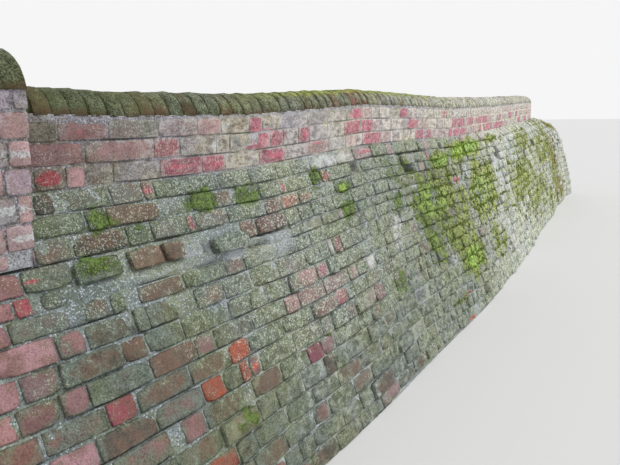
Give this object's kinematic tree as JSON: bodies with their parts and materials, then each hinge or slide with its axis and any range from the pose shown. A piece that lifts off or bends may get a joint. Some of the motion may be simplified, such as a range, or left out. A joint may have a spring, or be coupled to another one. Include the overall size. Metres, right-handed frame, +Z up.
{
  "type": "battered brick garden retaining wall with parapet and half-round coping",
  "caption": "Old curved brick garden wall: battered, bulging retaining face under an upright parapet with half-round brick-on-edge coping, closed by a taller pier.",
  "frame": {"origin": "on the ground, under the parapet's front line, four and a half bays to the right of the pier", "axes": "+X runs along the wall to the right as seen from its front, +Y points to its back, +Z is up"},
  "size_m": [11.6681, 1.2415, 1.864],
  "materials": {
    "lichened_brick": "matt, lichened",
    "parapet_brick": "matt, weathered",
    "mossy_brick": "matt, mossy",
    "pier_brick": "matt, weathered",
    "lime_mortar": "rough"
  },
  "bodies": {
    "root": {"retaining_wall_1": "lichened_brick", "retaining_wall_2": "lichened_brick", "retaining_wall_3": "lichened_brick", "retaining_wall_4": "lichened_brick", "retaining_wall_5": "lichened_brick", "retaining_wall_6": "lichened_brick", "retaining_wall_7": "lichened_brick", "retaining_wall_8": "lichened_brick", "retaining_wall_9": "lichened_brick", "retaining_wall_10": "lichened_brick", "parapet_1": "parapet_brick", "parapet_2": "parapet_brick", "parapet_3": "parapet_brick", "parapet_4": "parapet_brick", "parapet_5": "parapet_brick", "parapet_6": "parapet_brick", "parapet_7": "parapet_brick", "parapet_8": "parapet_brick", "parapet_9": "parapet_brick", "parapet_10": "parapet_brick", "coping_1": "mossy_brick", "coping_2": "mossy_brick", "coping_3": "mossy_brick", "coping_4": "mossy_brick", "coping_5": "mossy_brick", "coping_6": "mossy_brick", "coping_7": "mossy_brick", "coping_8": "mossy_brick", "coping_9": "mossy_brick", "coping_10": "mossy_brick", "pier_base": "lichened_brick", "pier": "pier_brick", "pier_cap": "mossy_brick"}
  },
  "joints": []
}
